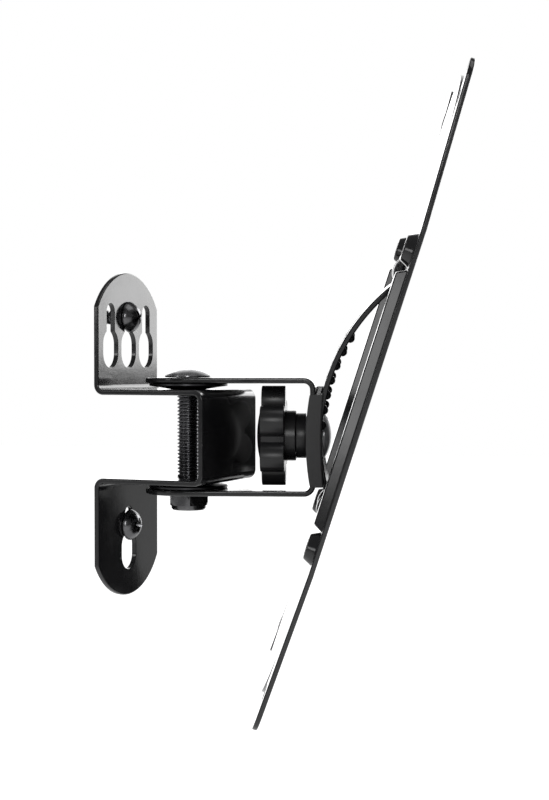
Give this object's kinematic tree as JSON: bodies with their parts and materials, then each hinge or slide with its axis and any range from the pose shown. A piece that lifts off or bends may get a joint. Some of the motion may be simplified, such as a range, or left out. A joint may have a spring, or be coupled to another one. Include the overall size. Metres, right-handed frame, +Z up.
{
  "type": "tv wall mount",
  "caption": "Small black steel wall mount that swivels, tilts and levels a flat television plate, locked by a star knob.",
  "frame": {"origin": "on the wall plane, at the middle of the wall bracket's width and height", "axes": "+Z up, +Y into the wall, television side towards -Y, +X to the right seen from the television"},
  "size_m": [0.1208, 0.1467, 0.2203],
  "materials": {
    "black_steel": "gloss black powder coat",
    "dark_fastener": "dark zinc plated steel",
    "washer_steel": "dark satin steel",
    "bright_steel": "bright plated steel",
    "knob_plastic": "glossy black plastic",
    "shoe_plastic": "matte dark grey plastic",
    "ring_plastic": "matte plastic",
    "insert_brass": "turned brass"
  },
  "bodies": {
    "wall": {"wall_bracket": "black_steel", "wall_screw_upper": "dark_fastener", "wall_screw_lower": "dark_fastener", "pivot_bolt": "dark_fastener", "pivot_nut": "dark_fastener", "pivot_nut_ring": "ring_plastic", "upper_friction_washer": "washer_steel", "lower_friction_washer": "washer_steel"},
    "yoke": {"yoke": "black_steel", "rear_pad": "shoe_plastic"},
    "shoe": {"clamp_shoe": "shoe_plastic", "clamp_bolt": "bright_steel"},
    "plate": {"tilt_band": "black_steel", "tv_plate": "black_steel", "band_rivet_upper_left": "dark_fastener", "band_rivet_upper_right": "dark_fastener", "band_rivet_lower_left": "dark_fastener", "band_rivet_lower_right": "dark_fastener"},
    "thrust": {"thrust_washer": "bright_steel", "thrust_bush": "knob_plastic"},
    "knob": {"knob_grip": "knob_plastic", "knob_insert": "insert_brass"}
  },
  "joints": [
    {"name": "swivel", "type": "hinge", "parent": "wall", "child": "yoke", "pos_m": [0, -0.0256, 0], "axis": [0, 0, 1], "range_deg": [-45.5, 4.5]},
    {"name": "level", "type": "hinge", "parent": "yoke", "child": "shoe", "pos_m": [0.01576, -0.06775, 0], "axis": [0.3502, -0.9367, 0], "range_deg": [-8.9, 1.1]},
    {"name": "tilt", "type": "hinge", "parent": "shoe", "child": "plate", "pos_m": [0.0395, -0.13126, 0], "axis": [0.9345, 0.3494, 0.068], "range_deg": [-35.9, 0.1]},
    {"name": "knob_travel", "type": "slide", "parent": "shoe", "child": "thrust", "axis": [-0.3502, 0.9367, 0], "range_m": [0, 0.00124]},
    {"name": "knob_turn", "type": "hinge", "parent": "thrust", "child": "knob", "pos_m": [0.01051, -0.0537, 0], "axis": [-0.3502, 0.9367, 0], "range_deg": [0, 360]}
  ],
  "couplings": [
    {"joint": "knob_turn", "follows": "knob_travel", "rad_per_m": 5026.5}
  ]
}
